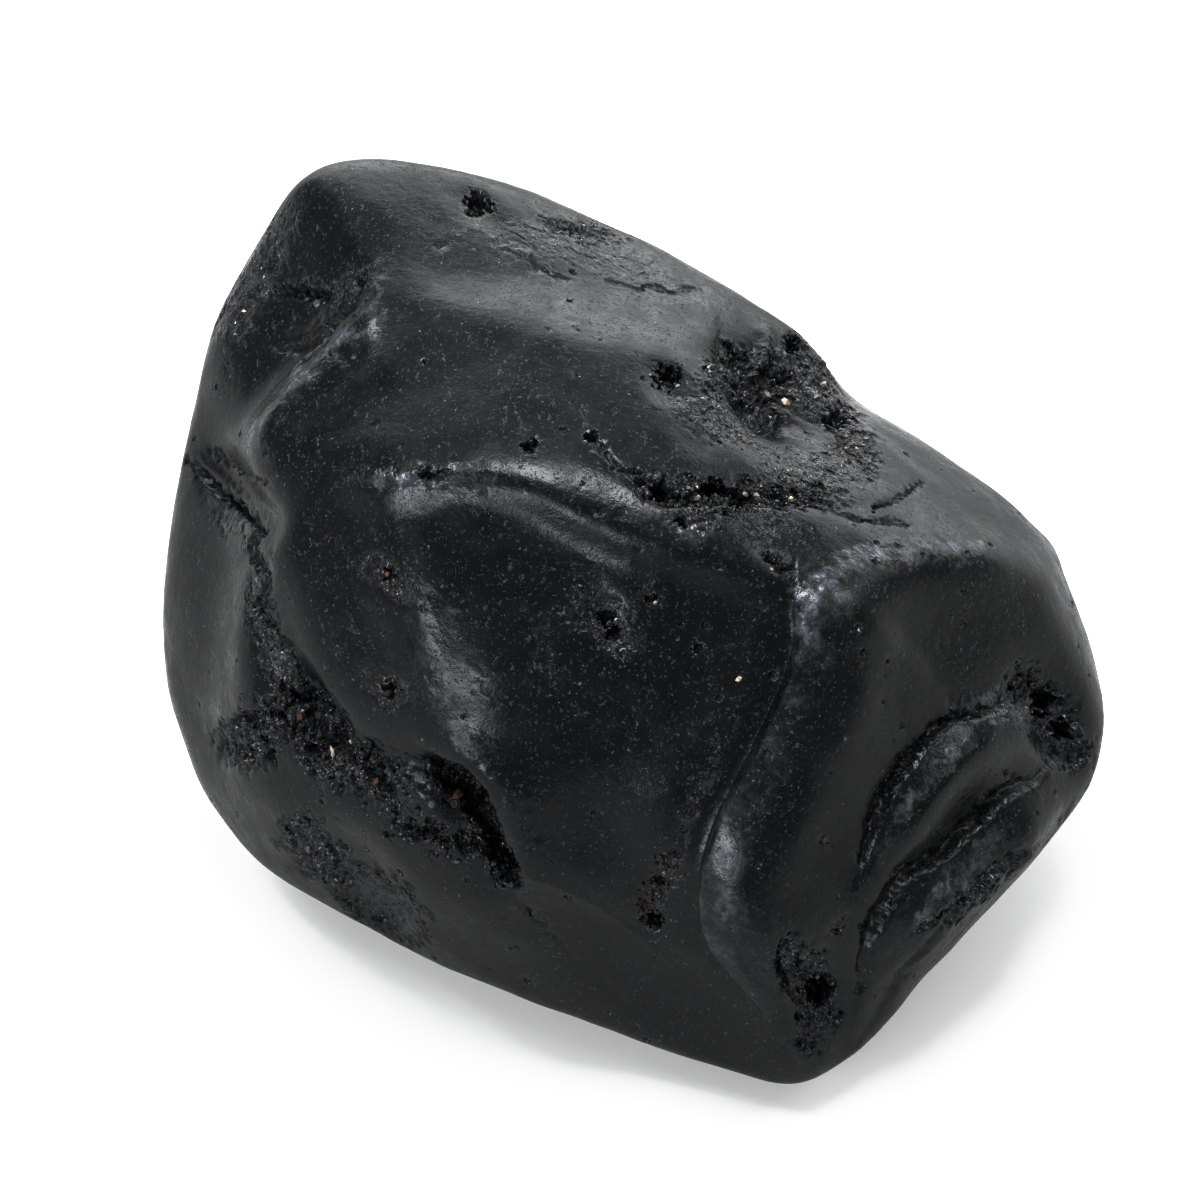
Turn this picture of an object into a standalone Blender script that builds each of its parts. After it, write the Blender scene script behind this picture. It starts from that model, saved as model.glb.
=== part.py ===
"""A tumbled black spinel, about 30 mm across: one solid stone with worn fracture faces.

The stone rests on its worn underside, +Z up, with its origin under its middle, on the
surface that it rests on. Its form is an armature of named lines of points, which tumbling
rounds off, and then a relief of grooves, crests, scarps and hollows.
"""

import math

import bmesh
import bpy
import numpy as np
from mathutils import Matrix, Vector
from mathutils.bvhtree import BVHTree

MM = 0.001

# Sheets that the stone is drawn on: the side that each is looked at from, as degrees
# round from the front (-Y) towards the right, and degrees up from level.
SHEETS = {
    "front": (0.0, 42.0),
    "back": (180.0, 20.0),
    "left": (-90.0, 10.0),
    "right": (90.0, 10.0),
}

# The resting plane, in millimetres below the armature's middle.
REST_DEPTH = 10.7

# Cells along each side of the six-sided grid that the stone is sampled with.
GRID_CELLS = 72

# The tumbling: rounds of smoothing and the share that each one moves.
TUMBLE_ROUNDS = 16
TUMBLE_SHARE = 0.5

# How far the trough at a scarp's foot reaches, in millimetres.
FOOT_REACH = 1.2

# Rounds of smoothing after the relief, which is less worn than the faces.
RELIEF_ROUNDS = 2

# The finished solid's faces.
MOST_TRIANGLES = 9800

# The outline of the stone as its front is looked at, in millimetres right, up and
# forward of the middle of the front sheet.
OUTLINE = {
    "crown": [(-12.6, 12.6, -4.0), (-11.0, 14.5, -3.5), (-8.5, 15.4, -4.0), (-4.3, 14.4, -4.5)],
    "back_slope": [(-0.6, 12.6, -4.0), (3.1, 10.6, -3.5), (5.1, 9.2, -3.0)],
    "notch": [(6.5, 6.8, -2.5), (9.7, 5.2, -3.5)],
    "right_shoulder": [(12.4, 3.5, -4.0), (13.7, 1.5, -4.0), (14.5, -0.9, -4.0)],
    "right_end": [(15.1, -3.3, -3.5), (14.3, -5.7, -3.0), (11.7, -8.5, -2.5)],
    "toe": [(9.2, -11.1, -1.0), (6.9, -13.9, 1.0), (4.7, -15.2, 1.6), (1.9, -14.3, 1.4)],
    "hem": [(-2.5, -12.5, 0.0), (-6.3, -11.0, -1.5), (-9.7, -9.3, -3.5), (-12.4, -7.8, -5.0)],
    "left_side": [(-14.3, -5.4, -5.5), (-15.3, -2.5, -5.5), (-15.4, 0.6, -5.0), (-15.1, 3.7, -5.0)],
    "left_crown": [(-14.6, 6.8, -5.0), (-13.8, 9.8, -4.5)],
}

# The faces and the crests between them inside that outline, on the same sheet.
FRONT = {
    "brow": [(-10.3, 4.9, 4.6), (-8.1, 4.0, 6.9), (-5.9, 4.3, 7.8), (-4.0, 4.2, 8.0),
             (-2.2, 3.4, 8.2), (0.0, 2.4, 8.4), (1.9, 1.9, 8.4), (4.1, 0.9, 8.2)],
    "brow_roll": [(-7.8, 5.2, 6.4), (-5.2, 5.5, 7.1), (-1.8, 4.6, 7.8), (0.4, 3.6, 8.0),
                  (2.4, 3.1, 7.8), (4.4, 2.3, 7.3)],
    "plateau": [(-7.5, 10.0, 2.2), (-2.8, 9.1, 3.6), (1.9, 7.8, 3.7), (-3.2, 6.9, 6.0),
                (0.6, 5.9, 6.2), (-7.0, 7.4, 4.6)],
    "plateau_trough": [(-7.5, 12.1, -0.5), (-3.1, 10.5, 0.8), (2.2, 9.2, 0.7)],
    "back_bevel": [(-9.1, 13.8, -1.2), (-3.1, 12.3, -1.6), (1.6, 10.5, -1.6)],
    "temple_crest": [(-7.8, 10.6, 1.3), (-8.6, 9.0, 2.2), (-11.6, 5.9, 2.8)],
    "temple_hollow": [(-10.7, 12.3, -1.9), (-11.0, 9.2, -0.8), (-13.0, 8.4, -2.2)],
    "cheek": [(-11.7, 2.5, 3.6), (-10.6, -0.3, 4.7), (-7.2, -3.8, 6.5), (-9.2, 1.4, 6.0)],
    "cheek_crest": [(-6.9, 0.9, 8.0), (-5.6, -2.0, 8.2), (-4.4, -6.4, 7.0)],
    "front_face": [(-1.6, -0.9, 8.3), (-1.3, -4.4, 7.4), (1.6, -3.1, 7.7)],
    "front_sill": [(-3.8, -7.8, 6.2), (0.0, -9.3, 5.4), (2.5, -11.4, 4.4)],
    "nose": [(5.0, 0.9, 8.2), (6.4, 1.9, 6.8)],
    "lobe": [(4.4, -2.5, 8.0), (2.6, -5.9, 7.6), (2.1, -8.8, 6.7), (3.4, -11.9, 5.0),
             (5.0, -14.0, 3.2)],
    "lobe_top": [(8.4, 2.3, 5.0), (10.8, 2.2, 2.8), (12.7, 1.3, 0.3)],
    "lobe_belly": [(7.9, -0.6, 5.0), (6.6, -4.4, 6.0), (5.0, -8.8, 5.9)],
    "scoop": [(11.0, -0.6, 2.3), (9.5, -4.4, 3.8), (7.5, -8.5, 4.9), (6.3, -11.5, 4.0)],
    "right_rim": [(13.4, -0.5, -0.2), (14.3, -3.5, -1.3), (12.5, -6.4, 0.3), (10.3, -8.9, 1.2),
                  (8.1, -11.3, 1.8), (6.2, -13.6, 2.4)],
    "shoulder": [(3.4, 7.2, 2.4), (5.2, 7.6, -0.4), (3.8, 4.4, 5.4), (6.6, 4.4, 2.8),
                 (9.4, 3.9, 0.8)],
    "left_flank": [(-13.1, 5.3, -0.8), (-12.9, 2.6, 0.8), (-14.2, 1.9, -2.2),
                   (-12.7, -0.9, 2.0), (-14.2, -1.5, -1.8), (-13.1, -3.6, 0.6)],
    "crevice": [(-10.6, -3.8, 4.2), (-7.5, -5.6, 5.6), (-4.4, -7.8, 5.8)],
    "jaw": [(-12.4, -5.0, 0.3), (-9.5, -6.3, 3.5), (-8.0, -8.6, 2.0), (-11.2, -7.2, -0.6)],
    "lower_strip": [(-5.9, -8.8, 3.8), (-2.5, -10.9, 2.4), (1.9, -12.8, 2.6)],
}

# The hidden sides, in millimetres along X, Y and Z of the armature's middle.
BACK = {
    "nape": [(-8.5, 13.4, 5.0), (-3.0, 13.2, 3.6), (2.5, 11.8, 2.2), (7.0, 9.4, 0.8)],
    "spine": [(-10.2, 13.2, 0.4), (-5.6, 14.1, -0.8), (-0.5, 14.0, -2.6), (4.0, 12.5, -3.4),
              (8.6, 9.5, -3.6)],
    "back_face": [(-9.5, 10.8, -5.5), (-3.5, 12.0, -6.4), (2.5, 10.8, -6.4), (7.2, 8.2, -6.6)],
    "heel": [(-8.6, 8.6, -9.2), (-3.0, 9.4, -9.6), (2.5, 8.4, -9.4), (7.0, 5.8, -8.8)],
    "right_back": [(11.6, 6.6, -1.4), (12.6, 5.0, -4.5), (11.0, 4.6, -8.0), (13.2, 1.0, -7.2)],
    "left_back": [(-13.2, 9.6, 1.0), (-13.8, 7.4, -3.0), (-12.6, 6.0, -7.4), (-13.0, 2.4, -8.0)],
    "sole": [(-9.6, 5.5, -10.5), (-9.8, -0.5, -10.6), (-4.0, 6.6, -11.0), (-3.0, 1.0, -11.3),
             (-5.5, -3.4, -10.9), (2.0, 6.2, -10.9), (4.0, 0.5, -11.1), (0.5, -5.6, -10.9),
             (8.2, 3.6, -10.0), (8.4, -2.4, -9.9), (4.2, -6.6, -10.7)],
}

# Grooves and hollows sunk along a line: (sheet, half width, depth, line), in millimetres.
# A line's points are right and up on the sheet, and the share of the depth there.
GROOVES = {
    "flank_valley": ("front", 0.9, 0.5, [(-13.8, 6.2, 0.5), (-13.6, 3.1, 1.0), (-13.7, 0.0, 1.0),
                                         (-13.4, -3.6, 0.8)]),
    "flank_wedge": ("front", 0.45, 0.9, [(-13.8, 5.2, 0.4), (-12.8, 4.0, 1.0), (-11.7, 3.1, 0.9)]),
    "flank_fracture": ("front", 0.9, 0.7, [(-12.4, 2.2, 0.5), (-11.9, 0.0, 0.7), (-11.1, -2.0, 1.0),
                                           (-9.7, -3.7, 1.0), (-7.8, -4.8, 0.8)]),
    "flank_hole": ("front", 0.45, 0.9, [(-11.1, -2.0, 0.6), (-10.5, -2.9, 1.0), (-9.9, -3.6, 0.5)]),
    "jaw_hollow": ("front", 1.1, 0.5, [(-11.9, -4.2, 0.8), (-10.6, -4.7, 1.0), (-9.0, -5.4, 0.6)]),
    "deep_crevice": ("front", 0.6, 1.3, [(-7.0, -4.4, 0.3), (-5.7, -5.4, 1.0), (-4.9, -6.6, 1.0),
                                         (-4.4, -7.9, 0.5)]),
    "lip_hollow": ("front", 0.9, 0.6, [(-9.8, -6.9, 0.6), (-9.0, -7.8, 1.0), (-8.2, -9.0, 0.7)]),
    "temple": ("front", 1.7, 0.5, [(-11.3, 10.4, 1.0), (-10.6, 8.4, 1.0), (-12.0, 7.0, 0.6)]),
    "crater": ("front", 1.5, 1.1, [(3.3, 8.0, 0.7), (4.4, 7.4, 1.0), (5.4, 6.6, 0.7)]),
    "crater_hole": ("front", 0.6, 1.0, [(3.6, 8.1, 0.6), (4.1, 7.4, 1.0), (4.5, 6.8, 0.6)]),
    "plateau_pit": ("front", 0.38, 0.5, [(0.85, 7.6, 1.0), (0.9, 7.3, 1.0)]),
    "long_crack": ("front", 0.35, 0.3, [(1.7, 4.1, 0.8), (3.2, 4.2, 1.0), (5.0, 3.9, 0.6),
                                       (7.8, 3.3, 0.3)]),
    "rim_trough": ("front", 0.7, 0.4, [(14.1, -5.2, 0.6), (12.4, -7.1, 1.0), (9.7, -9.3, 1.0),
                                       (7.8, -11.6, 1.0), (6.6, -13.2, 0.5)]),
    "end_hole": ("front", 0.7, 1.3, [(12.4, -2.1, 0.5), (13.0, -3.2, 1.0), (13.4, -4.0, 0.6)]),
    "toe_hole": ("front", 0.6, 1.2, [(5.3, -10.9, 0.6), (5.6, -11.8, 1.0)]),
    "front_pit": ("front", 0.35, 0.5, [(-1.2, 0.3, 1.0), (-0.9, -0.4, 1.0)]),
    "sill_pit": ("front", 0.4, 0.5, [(0.6, -8.1, 0.6), (0.2, -9.5, 1.0)]),
    "crown_pit": ("front", 0.3, 0.5, [(-5.3, 13.1, 1.0), (-5.0, 12.9, 1.0)]),
    "back_crevice": ("back", 0.5, 0.8, [(-9.0, -1.4, 0.3), (-7.2, -3.0, 1.0), (-6.4, -5.0, 0.9),
                                        (-6.8, -7.4, 0.3)]),
    "back_scoop": ("back", 2.4, 0.8, [(-2.0, -0.6, 0.6), (0.6, -2.4, 1.0), (3.4, -2.8, 0.7)]),
    "back_hollow": ("back", 2.0, 0.6, [(6.0, -10.4, 0.6), (2.4, -11.6, 1.0), (-1.6, -11.4, 0.6)]),
    "back_pits": ("back", 0.6, 0.9, [(7.2, -8.0, 0.6), (6.4, -8.8, 1.0), (5.2, -8.6, 0.5)]),
    "nape_pit": ("back", 0.5, 0.7, [(1.8, 5.4, 1.0), (2.6, 5.9, 0.7)]),
    "left_crevice": ("left", 0.55, 0.8, [(-7.4, -0.4, 0.4), (-4.6, -1.6, 1.0), (-1.6, -1.2, 0.9),
                                         (1.2, -2.6, 0.4)]),
    "left_scoop": ("left", 1.8, 0.6, [(-2.8, 4.6, 0.7), (0.4, 4.0, 1.0), (3.0, 2.6, 0.6)]),
    "right_crevice": ("right", 0.5, 0.8, [(-3.0, -2.4, 0.4), (0.0, -4.0, 1.0), (3.4, -4.4, 0.9),
                                          (6.0, -6.0, 0.3)]),
    "right_pit": ("right", 0.55, 0.8, [(4.2, 0.6, 1.0), (5.0, 1.2, 0.6)]),
}

# Crests raised along a line, in the same terms.
CRESTS = {
    "temple_ridge": ("front", 0.8, 0.4, [(-7.8, 10.6, 0.7), (-8.6, 9.0, 1.0), (-10.2, 7.4, 1.0),
                                         (-11.8, 5.8, 0.8)]),
    "brow_crest": ("front", 1.6, 0.15, [(4.4, 0.9, 0.6), (2.0, 2.2, 1.0), (0.0, 2.9, 1.0),
                                        (-2.2, 4.0, 1.0), (-5.0, 4.8, 1.0), (-7.8, 4.5, 0.6)]),
    "back_rib": ("back", 0.9, 0.4, [(-5.0, 1.6, 0.2), (-4.2, -1.6, 1.0), (-4.6, -4.6, 0.8),
                                    (-5.4, -7.0, 0.2)]),
}

# Scarps, where one side of a line stands above the other: (sheet, height of the wall,
# length over which it rounds off, reach, depth of the trough at its foot, line). The
# side on the left of the line as it runs is the raised one. A height below zero is a
# sharp edge, where that side falls away instead.
SCARPS = {
    "brow_edge": ("front", -0.4, 1.0, 4.5, 0.0, [
        (4.7, 0.5, 0.2), (3.2, 1.3, 1.0), (1.9, 1.8, 1.0), (0.0, 2.3, 1.0), (-2.2, 3.3, 1.0),
        (-4.0, 4.2, 1.0), (-5.9, 4.4, 1.0), (-8.1, 4.0, 0.8), (-10.0, 4.8, 0.0)]),
    "sill_edge": ("front", -0.3, 1.2, 3.5, 0.0, [
        (4.3, -13.4, 0.2), (2.5, -11.4, 1.0), (0.2, -9.6, 1.0), (-1.6, -8.4, 1.0),
        (-3.8, -7.8, 0.2)]),
    "spine_edge": ("back", -0.4, 1.0, 4.0, 0.0, [
        (10.0, -4.2, 0.2), (5.6, -5.6, 1.0), (0.5, -7.2, 1.0), (-4.0, -7.4, 1.0), (-8.0, -6.8, 0.2)]),
    "back_ledge": ("back", 0.7, 1.2, 2.4, 0.2, [
        (8.8, 3.4, 0.2), (6.6, 1.4, 1.0), (3.4, 0.6, 1.0), (0.4, 1.6, 0.2)]),
    "right_ledge": ("right", 0.6, 1.2, 2.0, 0.2, [
        (8.4, -1.6, 0.2), (6.6, -3.0, 1.0), (4.0, -2.4, 1.0), (1.8, -3.2, 0.2)]),
    "lobe_edge": ("front", 1.2, 2.6, 3.4, 0.7, [
        (11.2, 2.4, 0.0), (8.8, 2.6, 0.3), (6.8, 2.3, 0.6), (5.4, 1.5, 0.8), (4.8, 0.4, 1.0),
        (4.7, -0.8, 1.0), (4.2, -2.5, 1.0), (3.3, -4.4, 1.0), (2.3, -6.3, 1.0), (1.8, -8.1, 1.0),
        (2.0, -9.7, 1.0), (2.8, -11.1, 0.9), (4.3, -12.9, 0.1)]),
    "upper_ledge": ("front", 1.0, 1.1, 1.8, 0.2, [
        (11.9, -2.7, 0.4), (10.5, -2.9, 1.0), (9.5, -3.3, 1.0), (8.6, -4.2, 1.0),
        (7.8, -5.2, 1.0), (7.2, -6.5, 0.8), (7.0, -7.5, 0.3)]),
    "lower_ledge": ("front", 1.4, 1.5, 2.4, 0.3, [
        (12.9, -4.8, 0.4), (11.3, -5.4, 0.9), (10.3, -6.5, 1.0), (9.4, -7.2, 1.0),
        (8.3, -7.9, 1.0), (7.7, -8.8, 1.0), (7.1, -9.9, 0.8), (6.8, -11.5, 0.3)]),
}


def sheet_axes(name):
    """A sheet's right, up and forward directions. Forward points out of the stone."""
    turn, lift = (math.radians(angle) for angle in SHEETS[name])
    right = np.array([math.cos(turn), math.sin(turn), 0.0])
    forward = np.array([math.sin(turn) * math.cos(lift), -math.cos(turn) * math.cos(lift), math.sin(lift)])
    return right, np.cross(forward, right), forward


def armature_points():
    """Every point of the named lines, in millimetres about the armature's middle."""
    axes = np.array(sheet_axes("front"))
    drawn = [p for lines in (OUTLINE, FRONT) for line in lines.values() for p in line]
    hidden = [p for line in BACK.values() for p in line]
    return [Vector(p) for p in np.array(drawn) @ axes] + [Vector(p) for p in hidden]


def armature_tree():
    """The closed polyhedron through the armature's points, as a tree that rays can meet.

    The stone has no overhang seen from its middle, so the points' neighbours are those
    of their directions: a hull is wrapped round the directions, then each point is
    pushed out to its place.
    """
    places = armature_points()
    bm = bmesh.new()
    vertices = [bm.verts.new(place.normalized()) for place in places]
    bmesh.ops.convex_hull(bm, input=vertices)
    for vertex, place in zip(vertices, places):
        vertex.co = place
    bmesh.ops.triangulate(bm, faces=bm.faces)
    tree = BVHTree.FromBMesh(bm)
    bm.free()
    return tree


def grid_ball(cells):
    """A unit ball of evenly sized square cells: a cube's grid pushed out to a sphere."""
    bm = bmesh.new()
    bmesh.ops.create_cube(bm, size=2.0)
    bmesh.ops.subdivide_edges(bm, edges=bm.edges, cuts=cells - 1, use_grid_fill=True)
    for vertex in bm.verts:
        even = Vector([math.tan(c * math.pi / 4) for c in vertex.co])
        vertex.co = even.normalized()
    return bm


def smooth(bm, rounds):
    for _ in range(rounds):
        bmesh.ops.smooth_vert(bm, verts=bm.verts, factor=TUMBLE_SHARE,
                              use_axis_x=True, use_axis_y=True, use_axis_z=True)


def curve_through(points, steps=8):
    """A smooth line through the points (a Catmull-Rom spline), each a row of numbers."""
    p = np.array(points, float)
    p = np.vstack([2 * p[0] - p[1], p, 2 * p[-1] - p[-2]])
    rows = []
    for a, b, c, d in zip(p, p[1:], p[2:], p[3:]):
        for t in np.linspace(0.0, 1.0, steps, endpoint=False):
            rows.append(0.5 * (2 * b + (c - a) * t + (2 * a - 5 * b + 4 * c - d) * t**2
                               + (3 * b - a - 3 * c + d) * t**3))
    rows.append(p[-2])
    return np.array(rows)


def along_line(spots, line):
    """For spots on a sheet: distance to the line, the side (1 left, -1 right), the share there."""
    curve = curve_through(line)
    least = np.full(len(spots), np.inf)
    side = np.ones(len(spots))
    share = np.zeros(len(spots))
    for a, b in zip(curve, curve[1:]):
        run, reach = b[:2] - a[:2], spots - a[:2]
        t = np.clip(reach @ run / (run @ run), 0.0, 1.0)
        away = reach - t[:, None] * run
        distance = np.hypot(away[:, 0], away[:, 1])
        nearer = distance < least
        least[nearer] = distance[nearer]
        side[nearer] = np.sign(run[0] * reach[:, 1] - run[1] * reach[:, 0])[nearer]
        share[nearer] = (a[2] + t * (b[2] - a[2]))[nearer]
    return least, side, share


def on_sheet(places, sheet):
    """Places as their right and up on a sheet."""
    right, up, _ = sheet_axes(sheet)
    return np.stack([places @ right, places @ up], axis=1)


def reached(normals, sheet):
    """How far a sheet's strokes take hold where the surface faces it.

    The hidden sheets' strokes stop at the edge of what the front sheet sees.
    """
    toward = normals @ sheet_axes(sheet)[2]
    hold = np.clip(toward * 3, 0.0, 1.0)
    if sheet != "front":
        hold = hold * np.clip(-3 * (normals @ sheet_axes("front")[2]), 0.0, 1.0)
    return hold


def bell(distance, width):
    return np.exp(-((distance / width) ** 2))


def relief(places, normals):
    """How far each vertex moves out along its normal, in millimetres."""
    moved = np.zeros(len(places))
    for strokes, sign in ((GROOVES, -1.0), (CRESTS, 1.0)):
        for sheet, width, height, line in strokes.values():
            distance, _, share = along_line(on_sheet(places, sheet), line)
            moved += sign * height * share * bell(distance, width) * reached(normals, sheet)
    for sheet, height, rounding, reach, depth, line in SCARPS.values():
        distance, side, share = along_line(on_sheet(places, sheet), line)
        climb = 1 - np.clip(1 - distance / rounding, 0.0, 1.0) ** 2
        wall = (height + depth) * climb - depth
        trough = -depth * np.exp(-distance / FOOT_REACH)
        lift = np.where(side > 0, wall * bell(distance, reach), trough)
        moved += lift * share * reached(normals, sheet)
    return moved


def stand_on_origin(mesh):
    """Move the mesh so that the origin is the middle of the bottom of its box."""
    corners = np.array([vertex.co for vertex in mesh.vertices])
    low, high = corners.min(axis=0), corners.max(axis=0)
    middle = (low + high) / 2
    mesh.transform(Matrix.Translation((-middle[0], -middle[1], -low[2])))


def spinel_material():
    """Near-black and waxy, as tumbled spinel is."""
    material = bpy.data.materials.new("black_spinel")
    material.use_nodes = True
    surface = material.node_tree.nodes["Principled BSDF"]
    surface.inputs["Base Color"].default_value = (0.014, 0.014, 0.016, 1.0)
    surface.inputs["Roughness"].default_value = 0.38
    surface.inputs["IOR"].default_value = 1.72
    return material


def stone_object(name):
    """The stone's object, sampled from the armature along the ball's rays."""
    tree = armature_tree()
    bm = grid_ball(GRID_CELLS)
    middle = Vector((0.0, 0.0, 0.0))
    for vertex in bm.verts:
        place, _, _, _ = tree.ray_cast(middle, vertex.co)
        vertex.co = place
    bmesh.ops.recalc_face_normals(bm, faces=bm.faces)
    smooth(bm, TUMBLE_ROUNDS)
    bm.normal_update()
    places = np.array([vertex.co for vertex in bm.verts])
    normals = np.array([vertex.normal for vertex in bm.verts])
    places = places + relief(places, normals)[:, None] * normals
    for vertex, place in zip(bm.verts, places):
        vertex.co = place
    smooth(bm, RELIEF_ROUNDS)
    for vertex in bm.verts:
        vertex.co.z = max(vertex.co.z, -REST_DEPTH)
    mesh = bpy.data.meshes.new(name)
    bm.to_mesh(mesh)
    bm.free()
    mesh.transform(Matrix.Scale(MM, 4))
    stand_on_origin(mesh)
    stone = bpy.data.objects.new(name, mesh)
    thin = stone.modifiers.new("thin", "DECIMATE")
    thin.ratio = MOST_TRIANGLES / (2 * len(mesh.polygons))
    return stone


def clear_scene():
    for obj in list(bpy.data.objects):
        bpy.data.objects.remove(obj)


def main():
    clear_scene()
    collection = bpy.data.collections.new("black_spinel")
    bpy.context.scene.collection.children.link(collection)
    stone = stone_object("stone")
    stone.data.materials.append(spinel_material())
    collection.objects.link(stone)
    stone.data.shade_smooth()


main()
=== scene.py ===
"""A tumbled black spinel on a pale floor: the worn stone with its fractures, pits and grains."""

import math

import bmesh
import bpy
import numpy as np
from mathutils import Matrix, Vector
from mathutils.bvhtree import BVHTree


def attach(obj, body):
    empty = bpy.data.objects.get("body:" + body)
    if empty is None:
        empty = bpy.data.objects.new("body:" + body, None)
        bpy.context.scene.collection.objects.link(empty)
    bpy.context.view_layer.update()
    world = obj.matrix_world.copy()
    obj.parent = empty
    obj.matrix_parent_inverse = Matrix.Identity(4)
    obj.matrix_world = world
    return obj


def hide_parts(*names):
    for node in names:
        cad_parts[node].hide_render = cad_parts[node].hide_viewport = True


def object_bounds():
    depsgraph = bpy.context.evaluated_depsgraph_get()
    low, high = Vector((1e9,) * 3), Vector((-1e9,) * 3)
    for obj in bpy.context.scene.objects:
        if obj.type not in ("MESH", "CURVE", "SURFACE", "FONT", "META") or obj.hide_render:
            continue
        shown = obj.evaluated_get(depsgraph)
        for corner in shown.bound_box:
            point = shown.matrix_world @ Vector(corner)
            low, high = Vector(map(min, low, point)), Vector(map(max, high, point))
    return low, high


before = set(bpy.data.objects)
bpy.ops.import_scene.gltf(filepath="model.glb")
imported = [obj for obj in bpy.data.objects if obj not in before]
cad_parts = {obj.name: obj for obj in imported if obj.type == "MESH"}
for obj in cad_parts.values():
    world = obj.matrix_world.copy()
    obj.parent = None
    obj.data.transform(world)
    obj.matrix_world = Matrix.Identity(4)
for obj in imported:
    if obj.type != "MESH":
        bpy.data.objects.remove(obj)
CAD_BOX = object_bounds()

MM = 0.001

# The view of the photograph: straight at the stone's front, from this far up and away.
CAMERA_RISE = 42.0
CAMERA_AWAY = 0.5
SENSOR = 36.0
FRAME_PIXELS = 1200.0
PIXELS_PER_MM = 32.0
FRAME_MIDDLE = (600.0, 600.0)
LENS = SENSOR * CAMERA_AWAY * PIXELS_PER_MM / MM / FRAME_PIXELS

# The studio: soft lights that face the stone (place, width and height in metres, watts),
# the light from all round, the floor's shade and own glow, how far it reaches and lies below
# the stone in metres, and the picture's tones as pairs of scene tone and picture tone.
SOFTBOXES = {
    "overhead": ((0.0, 0.03, 0.35), 0.18, 0.18, 0.48),
    "dome": ((0.0, 0.35, 0.35), 0.60, 0.50, 0.25),
    "behind": ((0.1, 0.50, 0.14), 0.90, 0.34, 1.10),
    "left": ((-0.226, 0.04, 0.33), 0.12, 0.12, 0.25),
    "right": ((0.356, 0.095, 0.26), 0.16, 0.12, 0.18),
    "left_low": ((-0.5, -0.05, 0.12), 0.50, 0.30, 0.03),
    "nose": ((-0.29, -0.37, 0.17), 0.36, 0.14, 0.65),
}
WORLD_LIGHT = 0.13
WHITE = (1.0, 1.0, 1.0, 1.0)
FLOOR_COLOUR = (0.45, 0.45, 0.45, 1.0)
FLOOR_ROUGHNESS = 0.9
FLOOR_GLOW = 0.14
FLOOR_REACH = 1.5
FLOOR_DROP = 0.01 * MM
TONES = [(0.0, 0.0), (0.10, 0.10), (0.16, 0.27), (0.23, 0.62), (0.31, 0.98), (1.0, 1.0)]

# A point inside the stone from which all of its surface is seen, and its pixel.
HEART = Vector((0.000214, -0.0011604, 0.0107))
HEART_PIXEL = (640.0, 620.0)

# The fine stone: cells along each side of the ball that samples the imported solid, rounds of
# smoothing that remove its facets, levels of subdivision, and the finished piece's triangles.
BALL_CELLS = 72
FACET_ROUNDS = 6
FINE_LEVELS = 2
MOST_TRIANGLES = 194000

# Hidden sides that marks are drawn on: degrees round from the front towards the right, and up.
SHEETS = {"back": (180.0, 20.0), "left": (-90.0, 10.0), "right": (90.0, 10.0)}

# How far the trough at a small ledge's foot reaches, in mm.
STEP_FOOT = 0.22

# A ledge that reaches further than this, in mm, has a smooth edge. The others are ragged.
SMOOTH_REACH = 1.2

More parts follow.
